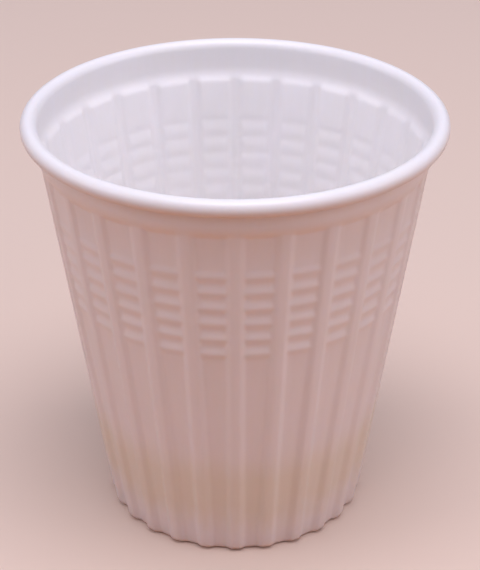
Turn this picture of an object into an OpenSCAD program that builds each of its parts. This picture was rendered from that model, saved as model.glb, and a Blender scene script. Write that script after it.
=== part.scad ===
// Ribbed throwaway cup for hot drinks and soup: one thin plastic sheet, formed in a mould,
// with its lip rolled outwards. The sheet has the same thickness all over, so every rib and
// ridge that stands out on the outside is a groove on the inside.

/* [Overall size] */
// Outside diameter of the rolled rim
rim_d = 70.3; // [66:0.1:82]
// Height from the table to the top of the rim
cup_h = 72.7; // [66:0.1:84]
// Thickness of the sheet
sheet_t = 0.35; // [0.25:0.05:0.45]
// Slope of the ribbed wall from upright, in degrees
draft = 8.5; // [7:0.01:9]

/* [Rolled rim] */
// Outside radius of the rolled lip
roll_r = 1.4; // [1.2:0.05:1.6]
// How far round the lip is rolled, in degrees below its outermost point
roll_end = 120; // [100:1:125]

/* [Stacking shoulder] */
// Depth of the shoulder below the top of the rim
shoulder_drop = 7.8; // [7:0.1:10]
// Radius where the panels turn out into the shoulder
crease_r = 1.5; // [1:0.1:2]
// Radius where the shoulder turns up into the plain band
shoulder_r = 3.5; // [2.5:0.1:4]
// Slope of the plain band from upright, in degrees
band_draft = 1; // [0.5:0.1:3]

/* [Upright ribs] */
// Number of upright ribs round the wall
rib_n = 26; // [20:1:28]
// How far the ribs stand out from the panels at the foot
rib_h = 0.85; // [0.7:0.05:1]
// How far the ribs stand out from the panels at the shoulder
rib_top_h = 0.4; // [0.3:0.05:0.6]
// Width of a rib at its root, at the foot
rib_root_w = 3.6; // [3:0.05:3.8]
// Width of the flat crest of a rib
rib_crest_w = 0.8; // [0.6:0.05:1]
// How far the rib crests lie inside the plain band, at the shoulder
crest_step = 0.6; // [0.5:0.02:0.8]

/* [Grip ridges] */
// Number of level ridges across each panel
ridge_n = 6; // [3:1:7]
// Distance from one ridge to the next
ridge_pitch = 3; // [2.6:0.02:3.4]
// Width of a ridge, up the wall
ridge_w = 2; // [1.6:0.1:2.4]
// How far a ridge stands out from its panel
ridge_h = 0.3; // [0.2:0.05:0.5]
// Distance of the top ridge below the shoulder
ridge_drop = 6.8; // [5:0.1:9]

/* [Foot] */
// Outside corner radius between the panels and the foot ring
corner_r = 1.05; // [0.9:0.05:1.6]
// Corner radius at the lower ends of the ribs
rib_corner_r = 1.5; // [1.3:0.05:2.2]
// Gap between the table and the lower ends of the ribs
rib_lift = 0.1; // [0.05:0.05:0.3]
// Width of the flat ring that the cup stands on
foot_ring_w = 1.3; // [1:0.1:2]
// Height of the recess under the floor
recess_h = 3.2; // [2:0.1:5]
// How much narrower the recess is at its top, on the radius
recess_taper = 0.7; // [0.3:0.1:1.2]

/* [Hidden] */
$fn = 96;
// Steps in a quarter turn of a small round, and across one ridge
round_steps = 4;
ridge_steps = 3;
// Each rib edge is rounded by a flat, to this share of the rib's height and of its side
rib_edge = [0.8, 0.35];
// The ribs reach this far into the wall, and this share of the way up the shoulder
rib_root_depth = 1.5;
rib_reach = 0.7;

rim_r = rim_d / 2;
shoulder_z = cup_h - shoulder_drop;
ridge_top_z = shoulder_z - ridge_drop;
ridge_low_z = ridge_top_z - (ridge_n - 1) * ridge_pitch;

// Centre of the roll. The plain band below it leaves the hollow of the roll at a tangent
roll_x = rim_r - roll_r;
roll_z = cup_h - roll_r;
hollow_r = roll_r - sheet_t;
function band_x(z) = roll_x - hollow_r / cos(band_draft) + (z - roll_z) * tan(band_draft);

// Outside of the rib crests, and of the panels, which lean a little more than the ribs
function crest_x(z) = band_x(shoulder_z) - crest_step + (z - shoulder_z) * tan(draft);
panel_foot_x = crest_x(0) - rib_h / cos(draft);
panel_draft = atan((crest_x(shoulder_z) - rib_top_h / cos(draft) - panel_foot_x) / shoulder_z);
function panel_x(z) = panel_foot_x + z * tan(panel_draft);

// Points on an arc about a centre, both ends included
function arc(centre, r, from, to, steps) =
    [for (i = [0:steps]) centre + r * [cos(from + (to - from) * i / steps),
                                       sin(from + (to - from) * i / steps)]];

// Round from a flat at height z up to a wall that leans, and passes through wall_x at height 0
function foot_corner(wall_x, lean, r, z) =
    arc([wall_x + (r + z) * tan(lean) - r / cos(lean), r + z], r, -90, -lean, round_steps);

// Unit vector to the left of the way from a to b
function left(a, b) = let (d = (b - a) / norm(b - a)) [-d[1], d[0]];

// The same path moved to its left by s, with mitred corners
function inset(path, s) = [for (i = [0:len(path) - 1])
    let (m = left(path[max(i - 1, 0)], path[max(i, 1)]),
         n = left(path[min(i, len(path) - 2)], path[min(i + 1, len(path) - 1)]))
    path[i] + s * (m + n) / (1 + m * n)];

// Underside of the cup, from the middle of the floor out to the foot ring
corner = foot_corner(panel_foot_x, panel_draft, corner_r, 0);
ring_x = corner[0][0] - foot_ring_w;
underside = [[0, recess_h], [ring_x - recess_taper, recess_h], [ring_x, 0]];

// Outside of one ridge about height z, as a half wave on the panel
function ridge(z) = [for (i = [0:ridge_steps])
    let (zi = z + ridge_w * (i / ridge_steps - 0.5))
    [panel_x(zi) + ridge_h * sin(180 * i / ridge_steps), zi]];

ridges = [for (k = [0:ridge_n - 1]) each ridge(ridge_low_z + k * ridge_pitch)];

// Shoulder: one arc about crease leaves the panels, and one about turn runs into the band
crease = [panel_x(shoulder_z), shoulder_z] + crease_r * [cos(panel_draft), -sin(panel_draft)];
band_up = [sin(band_draft), cos(band_draft)];
band_out = [cos(band_draft), -sin(band_draft)];
gap = (crease - [band_x(0), 0]) * band_out + shoulder_r;
turn = crease - gap * band_out + sqrt((crease_r + shoulder_r) ^ 2 - gap ^ 2) * band_up;
lean = atan2(turn[1] - crease[1], turn[0] - crease[0]);
shoulder = concat(
    arc(crease, crease_r, 180 - panel_draft, lean, round_steps),
    [for (i = [1:round_steps]) arc(turn, shoulder_r, lean - 180, -band_draft, round_steps)[i]]);
shoulder_top_z = shoulder[len(shoulder) - 1][1];

// Where the band runs into the roll
band_top = [roll_x, roll_z] + hollow_r * [-cos(band_draft), sin(band_draft)];

// Outside of the whole sheet up to the roll, and its inside
outside = concat(underside, corner, ridges, shoulder, [band_top]);
inside = inset(outside, sheet_t);

// The rolled lip: round the hollow to the cut edge, and back over the top to the mouth
lip = concat(
    arc([roll_x, roll_z], hollow_r, 180 - band_draft, -roll_end, 4 * round_steps),
    arc([roll_x, roll_z], roll_r, -roll_end, 180 - band_draft, 4 * round_steps));
mouth = lip[len(lip) - 1];

// One side of a rib's outline across the wall, from its crest to its root
rib_side = [
    [0, rib_crest_w / 2],
    [rib_edge[0] * rib_h - rib_h, (rib_crest_w + (rib_root_w - rib_crest_w) * rib_edge[1]) / 2],
    [-rib_h, rib_root_w / 2]];

// Rib outline, moved in by s all round
module rib_outline(s) {
    moved = inset(rib_side, s);
    half = [
        [-s, moved[0][1]],
        moved[1],
        moved[2],
        [-rib_h - rib_root_depth, moved[2][1]]];
    polygon(concat(half, [for (i = [len(half) - 1:-1:0]) [half[i][0], -half[i][1]]]));
}

// Space that the lower ends of the ribs are rounded off to, moved in by s
module rib_ends(s) {
    end = foot_corner(crest_x(0), draft, rib_corner_r, rib_lift);
    path = inset(concat([[0, rib_lift]], end), s);
    top = path[len(path) - 1];
    rotate_extrude()
        polygon(concat(path, [[top[0] + rim_r, top[1]], [top[0] + rim_r, cup_h], [0, cup_h]]));
}

// All the ribs as solid bars that lean with the wall
module ribs(s) {
    length = (shoulder_z + rib_reach * (shoulder_top_z - shoulder_z)) / cos(draft);
    intersection() {
        for (i = [0:rib_n - 1])
            rotate([0, 0, i * 360 / rib_n - 90])
                translate([crest_x(0), 0, 0])
                    rotate([0, draft, 0])
                        linear_extrude(height = length)
                            rib_outline(s);
        rib_ends(s);
    }
}

// Everything inside the outer skin, with the rolled lip
module outer_form() {
    rotate_extrude()
        polygon(concat(outside, lip, [[0, mouth[1]]]));
    ribs(0);
}

// Everything inside the inner skin, open through the mouth
module hollow() {
    above = cup_h + roll_r;
    rotate_extrude()
        polygon(concat(inside, [[mouth[0], above], [0, above]]));
    ribs(sheet_t);
}

module cup() {
    color([0.95, 0.94, 0.95])
        difference() {
            outer_form();
            hollow();
        }
}

cup();
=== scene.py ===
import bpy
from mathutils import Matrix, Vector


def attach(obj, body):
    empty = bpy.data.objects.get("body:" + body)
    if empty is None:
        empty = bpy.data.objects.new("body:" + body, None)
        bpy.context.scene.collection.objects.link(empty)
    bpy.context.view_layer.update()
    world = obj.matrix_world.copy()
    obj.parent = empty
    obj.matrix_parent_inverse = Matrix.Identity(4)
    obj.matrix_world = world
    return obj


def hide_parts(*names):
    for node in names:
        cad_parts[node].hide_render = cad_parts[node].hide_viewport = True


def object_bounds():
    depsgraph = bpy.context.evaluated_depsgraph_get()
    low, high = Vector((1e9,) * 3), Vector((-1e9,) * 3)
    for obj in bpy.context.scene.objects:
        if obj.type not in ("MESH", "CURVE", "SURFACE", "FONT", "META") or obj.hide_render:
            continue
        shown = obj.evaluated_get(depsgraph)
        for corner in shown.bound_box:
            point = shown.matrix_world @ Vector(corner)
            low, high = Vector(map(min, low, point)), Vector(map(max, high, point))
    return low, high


bl_info = {
    "name": "Ribbed Soup Cup",
    "version": (1, 0, 0),
    "blender": (4, 5, 0),
    "location": "3D View > Sidebar > Soup Cup",
    "description": "Makes a ribbed cup of thin formed plastic, and a plain stage to show it on",
    "category": "Add Mesh",
}

import math

import bmesh
import bpy
from bpy.props import FloatProperty, FloatVectorProperty, IntProperty, PointerProperty
from mathutils import Vector

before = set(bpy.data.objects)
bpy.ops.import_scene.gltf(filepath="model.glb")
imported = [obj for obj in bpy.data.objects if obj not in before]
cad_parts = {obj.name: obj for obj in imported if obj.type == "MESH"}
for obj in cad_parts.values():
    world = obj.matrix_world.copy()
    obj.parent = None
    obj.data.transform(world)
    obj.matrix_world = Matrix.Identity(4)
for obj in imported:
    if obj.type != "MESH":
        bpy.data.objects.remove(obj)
CAD_LOW, CAD_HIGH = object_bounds()
MIDDLE = Vector((0, 0, (CAD_LOW.z + CAD_HIGH.z) / 2))

MM = 0.001

# Steps along and across the sheet, and the rings of the floor as shares of its radius
FLOOR_RINGS = (0.3, 0.6, 0.85)
BEND_STEPS = 4
CORNER_STEPS = 6
PLAIN_STEPS = 7
RIDGE_STEPS = 7
UPPER_STEPS = 2
CREASE_STEPS = 4
SHOULDER_STEPS = 6
BAND_STEPS = 2
ROLL_STEPS = 20
EDGE_STEPS = 3
FLANK_STEPS = 5
PANEL_STEPS = 2
# The straight wall starts this many rib corner radii above the table
WALL_START = 2
# Higher numbers give a sharper corner where two surfaces meet
RIDGE_SHARPNESS = 4.0
SHOULDER_SHARPNESS = 5.0

# Most of a noise texture's values lie between these two
NOISE_LOW = 0.3
NOISE_HIGH = 0.7
# How much of the stretched colour the clouds and the streaks add, as a tone that varies at random
CLOUD_AMOUNT = 0.22
STREAK_AMOUNT = 0.12
# The clouds move the band of painted warm shade up and down by this share of its reach
CLOUD_SHIFT = 0.5
# The streaks are drawn out down the wall: their pattern changes this much slower that way
STREAK_STRETCH = 0.04
# The clouds change the roughness by this much either way
ROUGHNESS_CHANGE = 0.05
# Plastic lets red light spread furthest inside it
GLOW_COLOURS = (1.0, 0.85, 0.75)
PLASTIC_IOR = 1.55
FLOOR_ROUGHNESS = 0.9
FLOOR_SHINE = 0.2

# The way from the cup to each lamp
TOP_WAY = Vector((0.03, -0.17, 0.98))
LEFT_WAY = Vector((-0.85, -0.15, 0.5))
RIGHT_WAY = Vector((0.85, -0.15, 0.5))
FRONT_WAY = Vector((0.5, -0.65, 0.5))

# Sockets of a Mix node that mixes two colours
FIRST_COLOUR = 6
SECOND_COLOUR = 7
MIXED_COLOUR = 2


def length(name, description, default):
    """A size in metres that the user can change."""
    return FloatProperty(name=name, description=description, default=default, min=0.0,
                         subtype="DISTANCE", unit="LENGTH", precision=5)


def angle(name, description, degrees):
    """An angle that the user can change."""
    return FloatProperty(name=name, description=description, default=math.radians(degrees),
                         subtype="ANGLE", unit="ROTATION")


def colour(name, description, default):
    """A linear colour that the user can change."""
    return FloatVectorProperty(name=name, description=description, default=default, size=3,
                               min=0.0, max=1.0, subtype="COLOR")


def share(name, description, default, top=1.0):
    """A plain number from nought to top."""
    return FloatProperty(name=name, description=description, default=default, min=0.0, max=top)


def power(name, description, default):
    """The power of a lamp in watts."""
    return FloatProperty(name=name, description=description, default=default, min=0.0,
                         unit="POWER")


def count(name, description, default):
    """A whole number that the user can change."""
    return IntProperty(name=name, description=description, default=default, min=1)


class CupSizes(bpy.types.PropertyGroup):
    """The real sizes of the cup."""

    rim_diameter: length("Rim Diameter", "Outside diameter of the rolled rim",
                         CAD_HIGH.x - CAD_LOW.x)
    height: length("Height", "From the table to the top of the rim", CAD_HIGH.z - CAD_LOW.z)
    sheet: length("Sheet", "Thickness of the plastic sheet", 0.35 * MM)
    draft: angle("Wall Slope", "Slope of the rib crests from upright", 8.5)
    band_draft: angle("Band Slope", "Slope of the plain band from upright", -1.5)
    roll_radius: length("Roll Radius", "Outside radius of the rolled lip", 1.4 * MM)
    roll_end: angle("Roll End", "How far below its outermost point the lip is rolled", 120.0)
    shoulder_drop: length("Shoulder Drop", "Depth of the shoulder below the rim", 7.8 * MM)
    shoulder_radius: length("Shoulder Radius", "Round from the shoulder to the band", 3.5 * MM)
    crease_radius: length("Crease Radius", "Round from a panel to the shoulder", 1.5 * MM)
    rib_count: count("Ribs", "Number of upright ribs", 26)
    rib_height: length("Rib Height", "How far a rib stands out at the foot", 0.85 * MM)
    rib_top_height: length("Rib Top Height", "How far a rib stands out at the shoulder", 0.4 * MM)
    rib_width: length("Rib Width", "Width of a rib half-way up its sides", 2.35 * MM)
    rib_flank: length("Rib Flank", "Width of each rounded side of a rib", 1.35 * MM)
    crest_step: length("Crest Step", "How far the rib crests lie inside the band", 0.78 * MM)
    ridge_count: count("Ridges", "Number of level ridges across each panel", 6)
    ridge_pitch: length("Ridge Pitch", "From one ridge to the next", 3.0 * MM)
    ridge_width: length("Ridge Width", "Width of a ridge up the wall", 2.7 * MM)
    ridge_height: length("Ridge Height", "How far a ridge stands out", 0.19 * MM)
    groove_depth: length("Groove Depth", "Depth of the groove inside each ridge", 0.1 * MM)
    ridge_drop: length("Ridge Drop", "Distance of the top ridge below the shoulder", 6.8 * MM)
    corner_radius: length("Foot Corner", "Outside corner radius of the foot", 1.05 * MM)
    rib_corner_radius: length("Rib Corner", "Corner radius at the lower end of a rib", 1.5 * MM)
    rib_lift: length("Rib Lift", "Gap under the lower ends of the ribs", 0.1 * MM)
    foot_ring: length("Foot Ring", "Width of the ring that the cup stands on", 1.3 * MM)
    recess: length("Recess", "Height of the hollow under the floor", 3.2 * MM)
    recess_taper: length("Recess Taper", "How much narrower the hollow is at its top", 0.7 * MM)
    bend_radius: length("Bend Radius", "Round at the top and foot of the hollow", 0.6 * MM)


class CupFinish(bpy.types.PropertyGroup):
    """The white plastic of the cup."""

    # white is the sheet's own colour. stretched is painted warm shade: a warmer, darker band low on
    # the wall, which the clouds and streaks also add as random tone
    white: colour("White", "Colour of the sheet where it is thickest", (0.99, 0.963, 0.97))
    stretched: colour("Stretched", "Colour of the sheet where it was drawn thinnest",
                      (0.91, 0.875, 0.775))
    # Height and reach of the band of painted warm shade low on the wall
    shade_band_middle: length("Thin Band Height", "Height of the thinnest part of the wall", 13.0 * MM)
    shade_band_reach: length("Thin Band Reach", "How far the thin part reaches up and down", 11.0 * MM)
    cloud_size: length("Cloud Size", "Size of the faint clouds in the sheet", 9.0 * MM)
    streak_size: length("Streak Size", "Width of the faint streaks drawn down the wall", 0.8 * MM)
    grain_size: length("Grain Size", "Size of the fine grain of the surface", 0.25 * MM)
    grain_height: length("Grain Height", "Height of the fine grain", 0.004 * MM)
    roughness: share("Roughness", "Mean roughness of the surface", 0.35)
    glow: share("Glow", "How much light passes into the sheet", 0.25)
    glow_depth: length("Glow Depth", "How far light spreads inside the sheet", 0.35 * MM)


class StageSettings(bpy.types.PropertyGroup):
    """The floor, the lamps and the camera."""

    floor: colour("Floor", "Colour of the floor and the backdrop", (0.80, 0.64, 0.53))
    bounce: colour("Bounce", "Colour that the floor throws back on the cup", (0.51, 0.225, 0.11))
    floor_size: length("Floor Size", "Width of the floor", 6.0)
    sky: colour("Sky", "Colour of the even light all round", (0.78, 0.80, 1.0))
    sky_strength: share("Sky Strength", "Strength of the light from right above", 0.74, 10.0)
    sky_spread: share("Sky Spread", "Higher numbers keep the light closer to right above", 1.0, 10.0)
    lamplight: colour("Lamplight", "Colour of the lamps", (0.98, 0.91, 0.99))
    top_power: power("Top Lamp", "Power of the lamp above", 3.9)
    left_power: power("Left Lamp", "Power of the lamp at the left", 1.35)
    right_power: power("Right Lamp", "Power of the lamp at the right", 1.2)
    front_power: power("Front Lamp", "Power of the lamp in front", 0.4)
    lamp_size: length("Lamp Size", "Width of each square lamp", 0.5)
    lamp_distance: length("Lamp Distance", "From each lamp to the cup", 0.9)
    focal_length: FloatProperty(name="Focal Length", description="Focal length of the lens",
                                default=107.37, min=1.0, unit="CAMERA")
    camera_distance: length("Camera Distance", "From the middle of the cup to the lens", 0.29543)
    camera_elevation: angle("Camera Elevation", "Height of the lens above level", 29.203)
    aim_side: FloatProperty(name="Aim Aside",
                            description="How far right of the axis the lens aims",
                            default=0.0008, subtype="DISTANCE", unit="LENGTH", precision=5)
    aim_height: length("Aim Height", "Height on the axis that the lens aims at", 0.04023)


def arc(centre, radius, start, end, steps):
    """Points on an arc, both ends included. Angles are in radians."""
    turns = [start + (end - start) * i / steps for i in range(steps + 1)]
    return [centre + radius * Vector((math.cos(a), math.sin(a))) for a in turns]


def rounded(before, corner, after, radius, steps):
    """Points of the arc that rounds one corner of a path."""
    u = (before - corner).normalized()
    v = (after - corner).normalized()
    half = math.acos(max(-1.0, min(1.0, u.dot(v)))) / 2
    centre = corner + (u + v).normalized() * radius / math.sin(half)
    first = corner + u * radius / math.tan(half) - centre
    last = corner + v * radius / math.tan(half) - centre
    start = math.atan2(first.y, first.x)
    sweep = math.atan2(first.x * last.y - first.y * last.x, first.dot(last))
    return arc(centre, radius, start, start + sweep, steps)


def moved_left(path, distance):
    """The same path moved to its left, with mitred corners."""
    made = []
    for i, point in enumerate(path):
        before = path[max(i - 1, 0)]
        after = path[min(i + 1, len(path) - 1)]
        normals = []
        for a, b in ((before, point), (point, after)):
            if (b - a).length > 0:
                way = (b - a).normalized()
                normals.append(Vector((-way.y, way.x)))
        total = sum(normals, Vector((0, 0)))
        made.append(point + total * distance * 2 / total.length_squared if len(normals) == 2
                    else point + normals[0] * distance)
    return made


class CupShape:
    """Outlines of the cup in a plane through its axis, as points (radius, height)."""

    def __init__(self, sizes, ridge_height):
        self.s = sizes
        self.ridge_height = ridge_height
        self.shoulder = sizes.height - sizes.shoulder_drop
        self.hollow = sizes.roll_radius - sizes.sheet
        self.roll = Vector((sizes.rim_diameter / 2 - sizes.roll_radius,
                            sizes.height - sizes.roll_radius))
        upright = math.cos(sizes.draft)
        self.foot = self.crest(0.0) - sizes.rib_height / upright
        top = self.crest(self.shoulder) - sizes.rib_top_height / upright
        self.lean = math.atan((top - self.foot) / self.shoulder)
        corner = math.tan(self.lean) - 1 / math.cos(self.lean)
        self.ring = self.foot + sizes.corner_radius * corner - sizes.foot_ring

    def band(self, z):
        """Outside of the plain band at height z."""
        start = self.roll.x - self.hollow / math.cos(self.s.band_draft)
        return start + (z - self.roll.y) * math.tan(self.s.band_draft)

    def crest(self, z):
        """Outside of the rib crests at height z."""
        top = self.band(self.shoulder) - self.s.crest_step
        return top + (z - self.shoulder) * math.tan(self.s.draft)

    def panel(self, z):
        """Outside of the panels at height z, without ridges."""
        return self.foot + z * math.tan(self.lean)

    def upright(self, z, bulge=0.0):
        """A row at height z: a point on a panel, one on a rib, and the bulge of the panel."""
        x = self.panel(z) + bulge
        return Vector((x, z)), Vector((max(x, self.crest(z)), z)), bulge

    def floor_rows(self):
        """Rows from near the middle of the floor to the inner side of the foot ring."""
        s = self.s
        middle = Vector((0, s.recess))
        top = Vector((self.ring - s.recess_taper, s.recess))
        ring = Vector((self.ring, 0))
        outer = Vector((self.foot, 0))
        path = [Vector((self.ring * f, s.recess)) for f in FLOOR_RINGS]
        path += rounded(middle, top, ring, s.bend_radius, BEND_STEPS)
        path += rounded(top, ring, outer, s.bend_radius, BEND_STEPS)
        return [(p, p, 0.0) for p in path]

    def corner_rows(self):
        """Rows round the outside corner of the foot."""
        s = self.s
        panel = rounded(Vector((0, 0)), Vector((self.foot, 0)),
                        Vector((self.panel(self.shoulder), self.shoulder)),
                        s.corner_radius, CORNER_STEPS)
        rib = rounded(Vector((0, s.rib_lift)), Vector((self.crest(s.rib_lift), s.rib_lift)),
                      Vector((self.crest(self.shoulder), self.shoulder)),
                      s.rib_corner_radius, CORNER_STEPS)
        return [(p, r, 0.0) for p, r in zip(panel, rib)]

    def wall_rows(self):
        """Rows up the wall, over the ridges, to just below the shoulder."""
        s = self.s
        top = self.shoulder - s.ridge_drop
        low = top - (s.ridge_count - 1) * s.ridge_pitch
        start = WALL_START * s.rib_corner_radius
        end = low - s.ridge_width / 2
        rows = [self.upright(start + (end - start) * i / PLAIN_STEPS) for i in range(PLAIN_STEPS)]
        for k in range(s.ridge_count):
            for i in range(RIDGE_STEPS + 1):
                turn = i / RIDGE_STEPS
                z = low + k * s.ridge_pitch + s.ridge_width * (turn - 0.5)
                bulge = self.ridge_height * (1 - math.cos(2 * math.pi * turn)) / 2
                rows.append(self.upright(z, bulge))
        start = top + s.ridge_width / 2
        gap = self.shoulder - start
        rows += [self.upright(start + gap * i / UPPER_STEPS) for i in range(1, UPPER_STEPS)]
        return rows

    def shoulder_rows(self):
        """Rows over the shoulder, from the top of the panels round two arcs to the band."""
        s = self.s
        up = Vector((math.sin(s.band_draft), math.cos(s.band_draft)))
        out = Vector((up.y, -up.x))
        inward = Vector((-math.cos(self.lean), math.sin(self.lean)))
        crease = Vector((self.panel(self.shoulder), self.shoulder)) - s.crease_radius * inward
        gap = (crease - Vector((self.band(0.0), 0))).dot(out) + s.shoulder_radius
        both = s.crease_radius + s.shoulder_radius
        turn = crease - gap * out + math.sqrt(both ** 2 - gap ** 2) * up
        way = math.atan2(turn.y - crease.y, turn.x - crease.x)
        path = arc(crease, s.crease_radius, math.pi - self.lean, way, CREASE_STEPS)
        path += arc(turn, s.shoulder_radius, way - math.pi, -s.band_draft, SHOULDER_STEPS)[1:]
        return [(p, Vector((self.rib_over(p), p.y)), 0.0) for p in path]

    def rib_over(self, point):
        """How far out a rib lies at a point of the shoulder. It runs softly into the shoulder."""
        base = self.panel(point.y)
        return base + soft_max(point.x - base, self.crest(point.y) - base, SHOULDER_SHARPNESS)

    def lip_rows(self):
        """Rows up the band and round the hollow of the roll to the cut edge."""
        s = self.s
        start = self.shoulder_rows()[-1][0].y
        tangent = self.roll.y + self.hollow * math.sin(s.band_draft)
        path = []
        for i in range(1, BAND_STEPS):
            z = start + (tangent - start) * i / BAND_STEPS
            path.append(Vector((self.band(z), z)))
        path += arc(self.roll, self.hollow, math.pi - s.band_draft, -s.roll_end, ROLL_STEPS)
        return [(p, p, 0.0) for p in path]

    def rows(self):
        """All rows along the outer skin, from the floor to the cut edge of the lip."""
        return (self.floor_rows() + self.corner_rows() + self.wall_rows()
                + self.shoulder_rows() + self.lip_rows())


def soft_max(a, b, sharpness):
    """The larger of two heights, neither below nought, with a soft corner where they cross."""
    return (max(a, 0.0) ** sharpness + max(b, 0.0) ** sharpness) ** (1 / sharpness)


def rib_share(amount, bulge, height):
    """Share of the way out from a panel to the rib crest, where the panel bulges out by a ridge.
    The amount is the same share for a flat panel."""
    if bulge == 0:
        return amount
    side = soft_max(bulge, height * amount, RIDGE_SHARPNESS) - bulge
    return side / (soft_max(bulge, height, RIDGE_SHARPNESS) - bulge)


def columns(sizes):
    """Half of one rib, from its middle outwards. Each column has its distance from the middle on
    the outer and on the inner skin, and its share of the rib's height."""
    shrink = sizes.sheet / 2
    right = [(0.0, 0.0, 1.0)]
    for i in range(FLANK_STEPS + 1):
        way = i / FLANK_STEPS
        outer = sizes.rib_width / 2 + sizes.rib_flank * (way - 0.5)
        right.append((outer, outer - shrink, (1 + math.cos(math.pi * way)) / 2))
    return right


def grid_row(row, skin, reference, sizes, rib_columns):
    """Points round one row, for every column of every pitch. The skin is 0 outside, 1 inside."""
    panel, rib, bulge = row
    height = (rib - panel).length + bulge
    pitch = 2 * math.pi / sizes.rib_count
    half = [(column[skin] / reference, rib_share(column[2], bulge, height))
            for column in rib_columns]
    edge = half[-1][0]
    for i in range(1, PANEL_STEPS + 1):
        half.append((edge + (pitch / 2 - edge) * i / PANEL_STEPS, 0.0))
    one_pitch = [(-turn, amount) for turn, amount in half[-2:0:-1]] + half
    points = []
    for k in range(sizes.rib_count):
        middle = k * pitch - math.pi / 2
        for turn, amount in one_pitch:
            place = panel.lerp(rib, amount)
            turn += middle
            points.append((place.x * math.cos(turn), place.x * math.sin(turn), place.y))
    return points


def cup_mesh(sizes):
    """The whole sheet as one closed mesh: outer skin, cut edge and inner skin."""
    shape = CupShape(sizes, sizes.ridge_height)
    outer = shape.rows()
    lining = CupShape(sizes, sizes.groove_depth).rows()
    panel_in = moved_left([row[0] for row in lining], sizes.sheet)
    rib_in = moved_left([row[1] for row in lining], sizes.sheet)
    inner = list(zip(panel_in, rib_in, [row[2] for row in lining]))

    last = outer[-1][0]
    across = inner[-1][0] - last
    along = Vector((across.y, -across.x))
    edge = []
    for i in range(1, EDGE_STEPS):
        turn = math.pi * i / EDGE_STEPS
        point = last + across * (1 - math.cos(turn)) / 2 + along * math.sin(turn) / 2
        edge.append((point, point, 0.0))

    rib_columns = columns(sizes)
    skins = [(row, 0) for row in outer + edge] + [(row, 1) for row in reversed(inner)]

    mesh = bmesh.new()
    rings = []
    for row, skin in skins:
        reference = max(row[0].x, shape.ring)
        points = grid_row(row, skin, reference, sizes, rib_columns)
        rings.append([mesh.verts.new(point) for point in points])
    for low, high in zip(rings, rings[1:]):
        for i in range(len(low)):
            j = (i + 1) % len(low)
            mesh.faces.new((low[i], low[j], high[j], high[i]))
    under = mesh.verts.new((0, 0, sizes.recess))
    inside = mesh.verts.new((0, 0, sizes.recess + sizes.sheet))
    for i in range(len(rings[0])):
        j = (i + 1) % len(rings[0])
        mesh.faces.new((under, rings[0][j], rings[0][i]))
        mesh.faces.new((inside, rings[-1][i], rings[-1][j]))
    for face in mesh.faces:
        face.smooth = True
    bmesh.ops.recalc_face_normals(mesh, faces=mesh.faces)
    return mesh


class NodeTree:
    """A material's nodes, added and joined by short calls."""

    def __init__(self, material):
        material.use_nodes = True
        self.tree = material.node_tree
        self.tree.nodes.clear()

    def add(self, kind, inputs=None, **settings):
        """A node of that kind with its settings. Its inputs are set or joined by name or number."""
        node = self.tree.nodes.new(kind)
        for name, value in settings.items():
            setattr(node, name, value)
        for name, value in (inputs or {}).items():
            if isinstance(value, bpy.types.NodeSocket):
                self.tree.links.new(value, node.inputs[name])
            else:
                node.inputs[name].default_value = value
        return node


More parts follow.
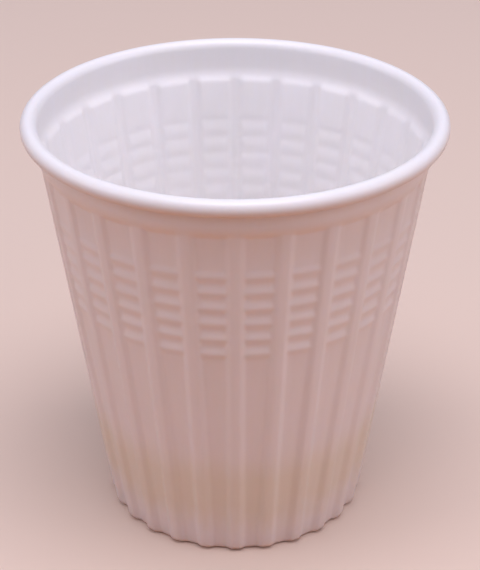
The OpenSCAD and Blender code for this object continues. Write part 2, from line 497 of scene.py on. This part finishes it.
def plastic(finish):
    """White formed plastic: clouded and faintly streaked down the wall, with a band of painted warm
    shade near the foot.
    """
    material = bpy.data.materials.new("White Formed Plastic")
    t = NodeTree(material)
    place = t.add("ShaderNodeTexCoord").outputs["Object"]
    height = t.add("ShaderNodeSeparateXYZ", {"Vector": place}).outputs["Z"]

    clouds = t.add("ShaderNodeTexNoise", {
        "Vector": place, "Scale": 1 / finish.cloud_size, "Detail": 3.0}).outputs["Fac"]
    # A band of painted warm shade low on the wall, moved up and down by the clouds
    shift = CLOUD_SHIFT * finish.shade_band_reach
    shifted = t.add("ShaderNodeMath", {
        0: clouds, 1: shift, 2: height}, operation="MULTIPLY_ADD").outputs["Value"]
    from_middle = t.add("ShaderNodeMath", {
        0: shifted, 1: finish.shade_band_middle + shift / 2}, operation="SUBTRACT").outputs["Value"]
    away = t.add("ShaderNodeMath", {0: from_middle}, operation="ABSOLUTE").outputs["Value"]
    shade_band = t.add("ShaderNodeMapRange", {
        "Value": away, "From Min": 0.0, "From Max": finish.shade_band_reach,
        "To Min": 1.0, "To Max": 0.0}, interpolation_type="SMOOTHSTEP").outputs["Result"]

    stretched = t.add("ShaderNodeVectorMath", {
        0: place, 1: (1.0, 1.0, STREAK_STRETCH)}, operation="MULTIPLY").outputs["Vector"]
    streaks = t.add("ShaderNodeTexNoise", {
        "Vector": stretched, "Scale": 1 / finish.streak_size, "Detail": 2.0}).outputs["Fac"]
    grain = t.add("ShaderNodeTexNoise", {
        "Vector": place, "Scale": 1 / finish.grain_size, "Detail": 2.0}).outputs["Fac"]

    cloudy = t.add("ShaderNodeMapRange", {
        "Value": clouds, "From Min": NOISE_LOW, "From Max": NOISE_HIGH,
        "To Min": 0.0, "To Max": CLOUD_AMOUNT}).outputs["Result"]
    streaky = t.add("ShaderNodeMapRange", {
        "Value": streaks, "From Min": NOISE_LOW, "From Max": NOISE_HIGH,
        "To Min": 0.0, "To Max": STREAK_AMOUNT}).outputs["Result"]
    faint = t.add("ShaderNodeMath", {0: cloudy, 1: streaky}, operation="ADD").outputs["Value"]
    amount = t.add("ShaderNodeMath", {0: shade_band, 1: faint}, operation="ADD",
                   use_clamp=True).outputs["Value"]
    # The white, with painted warm shade in the low band and random tone from the clouds and streaks
    tone = t.add("ShaderNodeMix", {
        "Factor": amount, FIRST_COLOUR: (*finish.white, 1.0),
        SECOND_COLOUR: (*finish.stretched, 1.0)}, data_type="RGBA").outputs[MIXED_COLOUR]

    gloss = t.add("ShaderNodeMapRange", {
        "Value": clouds, "From Min": NOISE_LOW, "From Max": NOISE_HIGH,
        "To Min": finish.roughness - ROUGHNESS_CHANGE,
        "To Max": finish.roughness + ROUGHNESS_CHANGE}).outputs["Result"]
    relief = t.add("ShaderNodeMath", {0: streaks, 1: grain}, operation="ADD").outputs["Value"]
    bump = t.add("ShaderNodeBump", {
        "Height": relief, "Distance": finish.grain_height, "Strength": 1.0}).outputs["Normal"]

    shader = t.add("ShaderNodeBsdfPrincipled", {
        "Base Color": tone, "Roughness": gloss, "Normal": bump, "IOR": PLASTIC_IOR,
        "Subsurface Weight": finish.glow, "Subsurface Radius": GLOW_COLOURS,
        "Subsurface Scale": finish.glow_depth})
    t.add("ShaderNodeOutputMaterial", {"Surface": shader.outputs["BSDF"]})
    return material


def floor_material(settings):
    """A plain matt floor. It throws a stronger colour on the cup than the camera sees on it,
    and it is clear when it is seen from underneath."""
    material = bpy.data.materials.new("Pale Floor")
    t = NodeTree(material)
    bounced = t.add("ShaderNodeLightPath").outputs["Is Diffuse Ray"]
    tone = t.add("ShaderNodeMix", {
        "Factor": bounced, FIRST_COLOUR: (*settings.floor, 1.0),
        SECOND_COLOUR: (*settings.bounce, 1.0)}, data_type="RGBA").outputs[MIXED_COLOUR]
    matt = t.add("ShaderNodeBsdfPrincipled", {
        "Base Color": tone, "Roughness": FLOOR_ROUGHNESS, "Specular IOR Level": FLOOR_SHINE})
    clear = t.add("ShaderNodeBsdfTransparent")
    behind = t.add("ShaderNodeNewGeometry").outputs["Backfacing"]
    mixed = t.add("ShaderNodeMixShader", {
        0: behind, 1: matt.outputs["BSDF"], 2: clear.outputs["BSDF"]})
    t.add("ShaderNodeOutputMaterial", {"Surface": mixed.outputs["Shader"]})
    return material


def new_object(name, mesh, material):
    """Turns a bmesh into an object in the scene, with one material."""
    data = bpy.data.meshes.new(name)
    mesh.to_mesh(data)
    mesh.free()
    data.materials.append(material)
    made = bpy.data.objects.new(name, data)
    bpy.context.scene.collection.objects.link(made)
    return made


class SOUPCUP_OT_add_cup(bpy.types.Operator):
    """Make the ribbed cup from its sizes"""

    bl_idname = "soupcup.add_cup"
    bl_label = "Add Cup"

    def execute(self, context):
        mesh = cup_mesh(context.scene.cup_sizes)
        cup = new_object("formed_cup", mesh, plastic(context.scene.cup_finish))
        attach(cup, "root")
        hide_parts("cup")
        return {"FINISHED"}


def add_lamp(name, way, watts, settings):
    """A square lamp that lies that way from the cup and faces its middle."""
    light = bpy.data.lights.new(name, "AREA")
    light.energy = watts
    light.color = settings.lamplight
    light.size = settings.lamp_size
    lamp = bpy.data.objects.new(name, light)
    lamp.location = settings.lamp_distance * way.normalized()
    lamp.rotation_euler = (MIDDLE - lamp.location).to_track_quat("-Z", "Y").to_euler()
    bpy.context.scene.collection.objects.link(lamp)


def add_camera(settings):
    """The camera at the photograph's viewing angle."""
    data = bpy.data.cameras.new("Camera")
    data.lens = settings.focal_length
    camera = bpy.data.objects.new("Camera", data)
    rise = settings.camera_elevation
    back = Vector((0, -math.cos(rise), math.sin(rise)))
    camera.location = MIDDLE + settings.camera_distance * back
    aim = Vector((settings.aim_side, 0, settings.aim_height))
    camera.rotation_euler = (aim - camera.location).to_track_quat("-Z", "Y").to_euler()
    bpy.context.scene.collection.objects.link(camera)
    bpy.context.scene.camera = camera


def set_world(settings):
    """Soft light, strongest from right above. Past the floor's edge the camera sees its colour."""
    world = bpy.data.worlds.new("Studio")
    bpy.context.scene.world = world
    t = NodeTree(world)
    way = t.add("ShaderNodeTexCoord").outputs["Generated"]
    rise = t.add("ShaderNodeSeparateXYZ", {"Vector": way}).outputs["Z"]
    above = t.add("ShaderNodeMath", {0: rise, 1: 0.0}, operation="MAXIMUM").outputs["Value"]
    spread = t.add("ShaderNodeMath", {
        0: above, 1: settings.sky_spread}, operation="POWER").outputs["Value"]
    strength = t.add("ShaderNodeMath", {
        0: spread, 1: settings.sky_strength}, operation="MULTIPLY").outputs["Value"]
    sky = t.add("ShaderNodeBackground", {"Color": (*settings.sky, 1.0), "Strength": strength})
    seen = t.add("ShaderNodeBackground", {"Color": (*settings.floor, 1.0), "Strength": 1.0})
    camera_ray = t.add("ShaderNodeLightPath").outputs["Is Camera Ray"]
    mixed = t.add("ShaderNodeMixShader", {
        0: camera_ray, 1: sky.outputs["Background"], 2: seen.outputs["Background"]})
    t.add("ShaderNodeOutputWorld", {"Surface": mixed.outputs["Shader"]})


class SOUPCUP_OT_add_stage(bpy.types.Operator):
    """Make the floor, the lamps, the even light and the camera"""

    bl_idname = "soupcup.add_stage"
    bl_label = "Add Stage"

    def execute(self, context):
        settings = context.scene.cup_stage
        mesh = bmesh.new()
        bmesh.ops.create_grid(mesh, x_segments=1, y_segments=1, size=settings.floor_size / 2)
        floor = new_object("floor", mesh, floor_material(settings))
        floor.location.z = CAD_LOW.z
        add_lamp("Top", TOP_WAY, settings.top_power, settings)
        add_lamp("Left", LEFT_WAY, settings.left_power, settings)
        add_lamp("Right", RIGHT_WAY, settings.right_power, settings)
        add_lamp("Front", FRONT_WAY, settings.front_power, settings)
        set_world(settings)
        add_camera(settings)
        context.scene.view_settings.view_transform = "Standard"
        return {"FINISHED"}


class SOUPCUP_PT_panel(bpy.types.Panel):
    """The cup's sizes, its finish and its stage"""

    bl_idname = "SOUPCUP_PT_panel"
    bl_label = "Soup Cup"
    bl_space_type = "VIEW_3D"
    bl_region_type = "UI"
    bl_category = "Soup Cup"

    def draw(self, context):
        scene = context.scene
        for title, group in (("Sizes", scene.cup_sizes), ("Finish", scene.cup_finish),
                             ("Stage", scene.cup_stage)):
            box = self.layout.box()
            box.label(text=title)
            for name in group.__annotations__:
                box.prop(group, name)
        self.layout.operator(SOUPCUP_OT_add_cup.bl_idname)
        self.layout.operator(SOUPCUP_OT_add_stage.bl_idname)


CLASSES = (CupSizes, CupFinish, StageSettings, SOUPCUP_OT_add_cup, SOUPCUP_OT_add_stage,
           SOUPCUP_PT_panel)


def register():
    for kind in CLASSES:
        bpy.utils.register_class(kind)
    bpy.types.Scene.cup_sizes = PointerProperty(type=CupSizes)
    bpy.types.Scene.cup_finish = PointerProperty(type=CupFinish)
    bpy.types.Scene.cup_stage = PointerProperty(type=StageSettings)


def unregister():
    del bpy.types.Scene.cup_stage
    del bpy.types.Scene.cup_finish
    del bpy.types.Scene.cup_sizes
    for kind in reversed(CLASSES):
        bpy.utils.unregister_class(kind)


def main():
    register()
    bpy.ops.soupcup.add_cup()
    bpy.ops.soupcup.add_stage()


if __name__ == "__main__":
    main()
